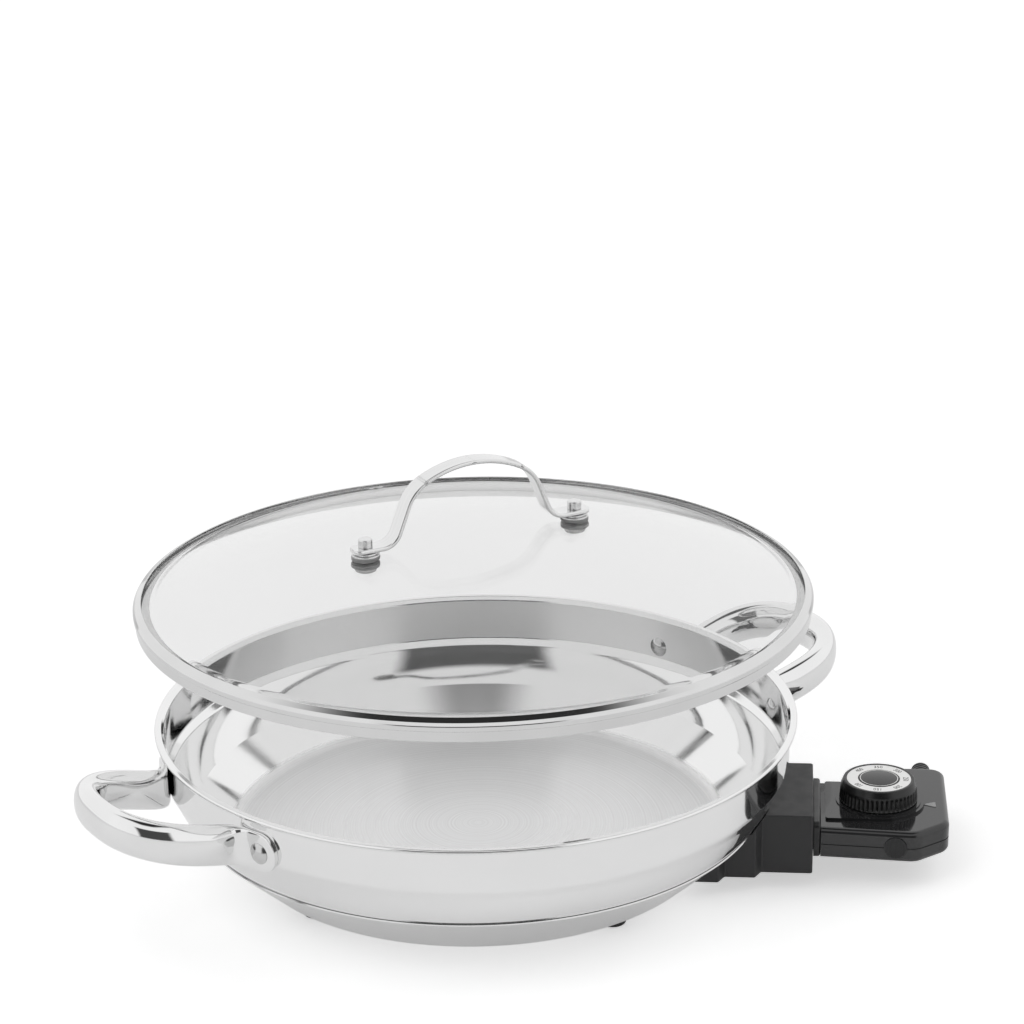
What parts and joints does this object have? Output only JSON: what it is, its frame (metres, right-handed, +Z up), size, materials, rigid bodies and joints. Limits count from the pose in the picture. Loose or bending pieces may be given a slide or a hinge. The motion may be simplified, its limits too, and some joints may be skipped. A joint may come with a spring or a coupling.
{
  "type": "electric skillet",
  "caption": "Round steel electric skillet with riveted loop handles, a raised lift-off glass lid, and a plug-in temperature control with a knob",
  "frame": {"origin": "bottom centre of the whole object's bounding box, on the table plane under the feet", "axes": "+X from the pan towards the temperature control, which slides out along it; +Z up; +Y completes a right-handed frame"},
  "size_m": [0.3982, 0.3182, 0.2024],
  "materials": {
    "pan_steel": "polished outside and on the inner wall, circular brushed cooking floor",
    "base_steel": "polished, slightly darker than the wall",
    "handle_steel": "mirror polished stainless",
    "rivet_steel": "polished domes",
    "lid_steel": "polished rolled rim",
    "strap_steel": "satin strap with polished edges",
    "fastener_steel": "plain zinc or stainless fasteners",
    "lid_glass": "clear tempered glass",
    "gasket_black": "matte black rubber",
    "bracket_black": "fine-grained black phenolic",
    "foot_black": "matte black phenolic",
    "housing_black": "glossy black moulding",
    "collar_black": "satin black phenolic",
    "knob_black": "satin black ribbed skirt",
    "dial_silver": "silver printed ring with plain numbers",
    "cap_black": "glossy black cap",
    "mark_grey": "light grey mark",
    "spreader_aluminium": "as cast",
    "element_steel": "heat-tinted sheath",
    "ceramic_white": "glazed ceramic bush",
    "contact_brass": "plain brass sleeve",
    "thermostat_cream": "moulded switch block"
  },
  "bodies": {
    "base": {"pan_body": "pan_steel", "base_cover": "base_steel", "heat_spreader": "spreader_aluminium", "heating_element": "element_steel", "element_pins": "fastener_steel", "pin_insulators": "ceramic_white", "probe_well": "fastener_steel", "weld_studs": "fastener_steel", "socket_bracket": "bracket_black", "bracket_screws": "fastener_steel", "feet": "foot_black", "foot_screws": "fastener_steel", "right_handle": "handle_steel", "left_handle": "handle_steel", "handle_rivets": "rivet_steel"},
    "lid": {"lid_glass": "lid_glass", "lid_rim": "lid_steel", "steam_vent": "lid_steel", "lid_handle": "strap_steel", "lid_bolts": "fastener_steel", "lid_nuts": "fastener_steel", "lid_washers": "fastener_steel", "glass_gaskets": "gasket_black"},
    "control": {"control_upper": "housing_black", "control_lower": "housing_black", "control_collar": "collar_black", "control_screws": "fastener_steel", "contact_sleeves": "contact_brass", "probe_rod": "fastener_steel", "thermostat": "thermostat_cream", "cord_gland": "collar_black", "grip_pad": "collar_black", "pointer_mark": "mark_grey"},
    "knob": {"knob_body": "knob_black", "knob_shaft": "fastener_steel", "dial_ring": "dial_silver", "knob_cap": "cap_black"}
  },
  "joints": [
    {"name": "lid_lift", "type": "slide", "parent": "base", "child": "lid", "axis": [0, 0, 1], "range_m": [-0.058, 0.09]},
    {"name": "control_pull", "type": "slide", "parent": "base", "child": "control", "axis": [1, 0, 0], "range_m": [0, 0.09]},
    {"name": "knob_turn", "type": "hinge", "parent": "control", "child": "knob", "pos_m": [0.16615, 0.005, 0.037], "axis": [0, 0, -1], "range_deg": [0, 300]}
  ]
}
